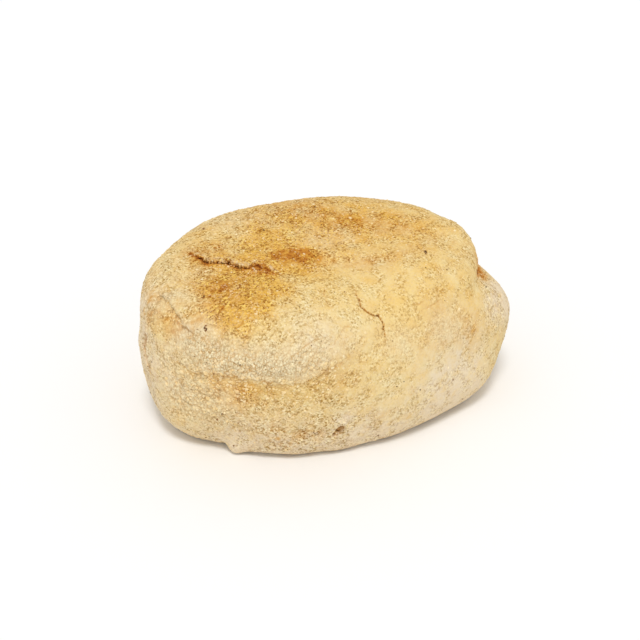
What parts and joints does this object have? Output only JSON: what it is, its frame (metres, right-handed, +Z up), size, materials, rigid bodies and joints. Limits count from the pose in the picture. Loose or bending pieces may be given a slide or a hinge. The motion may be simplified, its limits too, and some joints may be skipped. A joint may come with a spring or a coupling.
{
  "type": "sourdough bun",
  "caption": "Oblong floury bread bun, folded over itself in two lobes, with a seam at one end, a creased crown and a flat underside.",
  "frame": {"origin": "centre of the flat underside, where the bun rests", "axes": "+X along the bun's length, towards the end where the seam is open; +Z up, from the underside to the crown; +Y towards the back"},
  "size_m": [0.12, 0.0842, 0.0557],
  "materials": {
    "crust": "dry matt bread crust, pale cream under a dusting of flour and coarse meal, toasted golden to orange-brown along the crown's creases"
  },
  "bodies": {
    "root": {"bun": "crust"}
  },
  "joints": []
}
